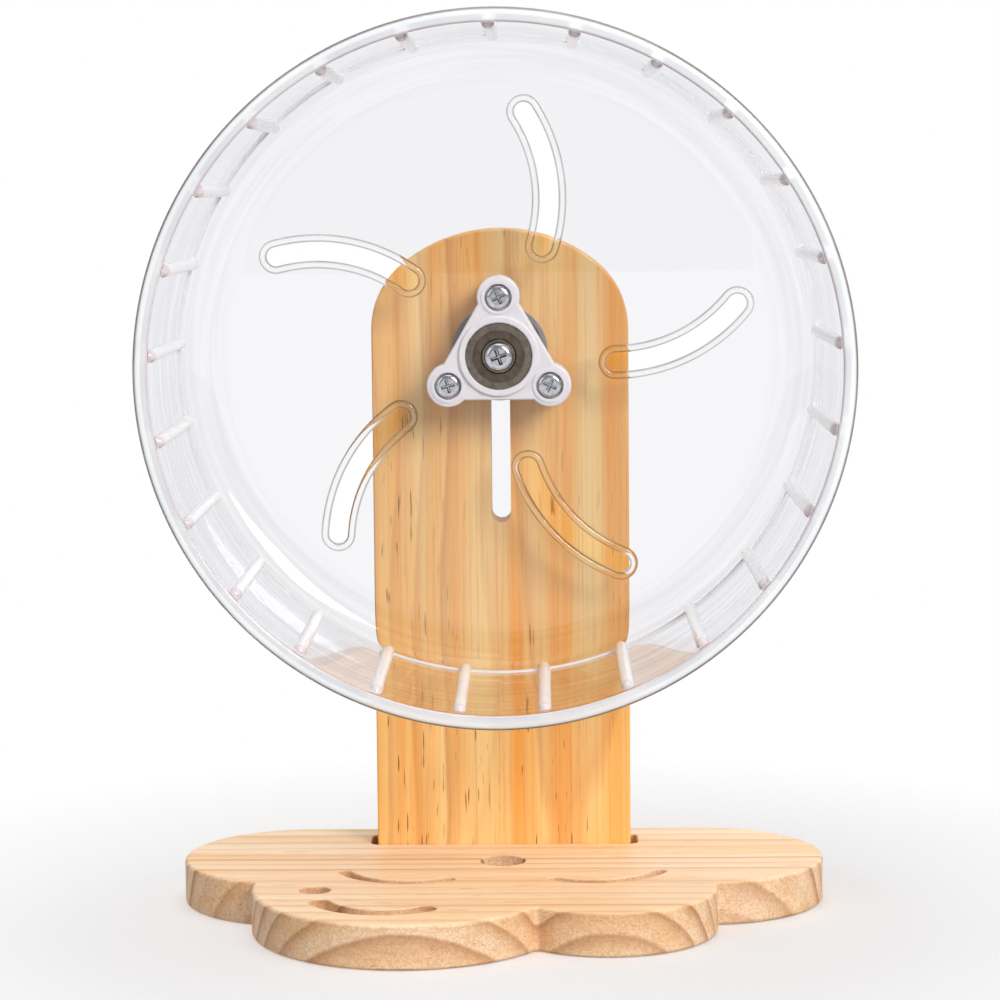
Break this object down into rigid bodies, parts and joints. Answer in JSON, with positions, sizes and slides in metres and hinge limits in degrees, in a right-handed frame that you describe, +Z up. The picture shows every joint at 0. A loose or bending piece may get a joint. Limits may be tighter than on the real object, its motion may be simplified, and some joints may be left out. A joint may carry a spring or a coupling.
{
  "type": "rodent exercise wheel",
  "caption": "Clear running wheel on ball bearings, clamped at an adjustable height in the slot of an upright pine board on a cloud-shaped pine base.",
  "frame": {"origin": "middle of the base's footprint, on the surface that the base stands on", "axes": "+Z up, +X to the right seen from the open side of the wheel, +Y from the wheel to the upright board"},
  "size_m": [0.2236, 0.1376, 0.2943],
  "materials": {
    "pine_base": "sanded pine, clear lacquer",
    "pine_upright": "sanded pine, clear lacquer",
    "clear_plastic": "clear polished polystyrene",
    "frosted_plastic": "translucent white, fine frosted",
    "grey_plastic": "moulded mid grey",
    "knob_plastic": "moulded mid grey",
    "cage_plastic": "natural nylon",
    "zinc_steel": "bright zinc plated",
    "bright_steel": "turned and ground",
    "bearing_steel": "ground bearing steel",
    "shield_steel": "pressed sheet, satin",
    "brass": "knurled insert"
  },
  "bodies": {
    "stand": {"base_board": "pine_base", "upright_board": "pine_upright", "upright_screws": "zinc_steel"},
    "axle_group": {"axle": "bright_steel", "axle_flange": "grey_plastic", "bearing_spacer": "bright_steel", "axle_screw": "zinc_steel", "front_bearing_inner_ring": "bearing_steel", "rear_bearing_inner_ring": "bearing_steel", "rear_washer": "zinc_steel"},
    "knob": {"clamp_knob": "knob_plastic", "knob_insert": "brass"},
    "wheel": {"wheel_drum": "clear_plastic", "hub_cap": "frosted_plastic", "hub_back_plate": "frosted_plastic", "hub_screws": "zinc_steel", "hub_nuts": "zinc_steel", "front_bearing_outer_ring": "bearing_steel", "rear_bearing_outer_ring": "bearing_steel", "front_bearing_outer_shield": "shield_steel", "front_bearing_inner_shield": "shield_steel", "rear_bearing_outer_shield": "shield_steel", "rear_bearing_inner_shield": "shield_steel"},
    "front_cage": {"front_bearing_cage": "cage_plastic", "front_bearing_balls": "bright_steel"},
    "rear_cage": {"rear_bearing_cage": "cage_plastic", "rear_bearing_balls": "bright_steel"}
  },
  "joints": [
    {"name": "height_slide", "type": "slide", "parent": "stand", "child": "axle_group", "axis": [0, 0, 1], "range_m": [-0.05, 0]},
    {"name": "wheel_spin", "type": "hinge", "parent": "axle_group", "child": "wheel", "pos_m": [0, 0.02775, 0.1825], "axis": [0, 1, 0], "continuous": true},
    {"name": "front_cage_spin", "type": "hinge", "parent": "axle_group", "child": "front_cage", "pos_m": [0, 0.02425, 0.1825], "axis": [0, 1, 0], "continuous": true},
    {"name": "rear_cage_spin", "type": "hinge", "parent": "axle_group", "child": "rear_cage", "pos_m": [0, 0.03375, 0.1825], "axis": [0, 1, 0], "continuous": true},
    {"name": "knob_turn", "type": "hinge", "parent": "axle_group", "child": "knob", "pos_m": [0, 0.05785, 0.1825], "axis": [0, 1, 0], "range_deg": [0, 360]}
  ],
  "couplings": [
    {"joint": "front_cage_spin", "follows": "wheel_spin", "ratio": 0.6323},
    {"joint": "rear_cage_spin", "follows": "wheel_spin", "ratio": 0.6323}
  ]
}
